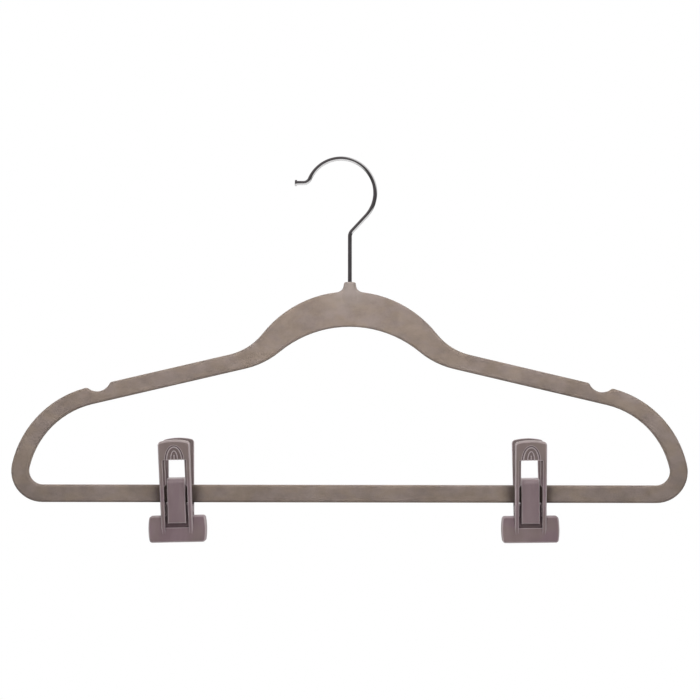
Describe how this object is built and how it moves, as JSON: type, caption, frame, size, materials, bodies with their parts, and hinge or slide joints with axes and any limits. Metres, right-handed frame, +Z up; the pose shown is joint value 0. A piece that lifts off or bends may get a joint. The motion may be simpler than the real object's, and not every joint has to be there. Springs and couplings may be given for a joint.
{
  "type": "skirt hanger",
  "caption": "Slim flocked clothes hanger with a trouser bar, strap notches, a swivelling wire hook and spring clips that slide along the bar.",
  "frame": {"origin": "point on the underside of the hook's crown that rests on the rail", "axes": "+X along the trouser bar to the viewer's right, +Y to the back, along the rail, +Z up"},
  "size_m": [0.445, 0.0292, 0.2542],
  "materials": {
    "hook_wire": "bright chrome plating",
    "flock": "short velvet flock",
    "clip_plastic": "satin moulding",
    "spring_plastic": "satin moulding"
  },
  "bodies": {
    "hook": {"hook": "hook_wire"},
    "frame": {"frame": "flock"},
    "left_clip": {"left_clip_spring": "spring_plastic"},
    "left_front_jaw": {"left_front_jaw": "clip_plastic"},
    "left_rear_jaw": {"left_rear_jaw": "clip_plastic"},
    "right_clip": {"right_clip_spring": "spring_plastic"},
    "right_front_jaw": {"right_front_jaw": "clip_plastic"},
    "right_rear_jaw": {"right_rear_jaw": "clip_plastic"}
  },
  "joints": [
    {"name": "hook_swivel", "type": "hinge", "parent": "hook", "child": "frame", "pos_m": [0.0059, 0, -0.0799], "axis": [0, 0, 1], "continuous": true},
    {"name": "left_clip_slide", "type": "slide", "parent": "frame", "child": "left_clip", "axis": [1, 0, 0], "range_m": [-0.0746, 0.0934]},
    {"name": "left_front_jaw_hinge", "type": "hinge", "parent": "left_clip", "child": "left_front_jaw", "pos_m": [-0.1073, 0, -0.22905], "axis": [-0.9997, 0, -0.0227], "range_deg": [0, 12.5], "stiffness_Nm_per_rad": 0.2, "springref_deg": -25.78, "deforming": ["left_clip_spring"]},
    {"name": "left_rear_jaw_hinge", "type": "hinge", "parent": "left_clip", "child": "left_rear_jaw", "pos_m": [-0.1073, 0, -0.22905], "axis": [0.9997, 0, 0.0227], "range_deg": [0, 12.5], "stiffness_Nm_per_rad": 0.2, "springref_deg": -25.78},
    {"name": "right_clip_slide", "type": "slide", "parent": "frame", "child": "right_clip", "axis": [1, 0, 0], "range_m": [-0.0988, 0.0692]},
    {"name": "right_front_jaw_hinge", "type": "hinge", "parent": "right_clip", "child": "right_front_jaw", "pos_m": [0.1247, 0, -0.22905], "axis": [-0.9999, 0, -0.0122], "range_deg": [0, 12.5], "stiffness_Nm_per_rad": 0.2, "springref_deg": -25.78, "deforming": ["right_clip_spring"]},
    {"name": "right_rear_jaw_hinge", "type": "hinge", "parent": "right_clip", "child": "right_rear_jaw", "pos_m": [0.1247, 0, -0.22905], "axis": [0.9999, 0, 0.0122], "range_deg": [0, 12.5], "stiffness_Nm_per_rad": 0.2, "springref_deg": -25.78}
  ],
  "couplings": [
    {"joint": "left_rear_jaw_hinge", "follows": "left_front_jaw_hinge", "ratio": 1},
    {"joint": "right_rear_jaw_hinge", "follows": "right_front_jaw_hinge", "ratio": 1}
  ]
}
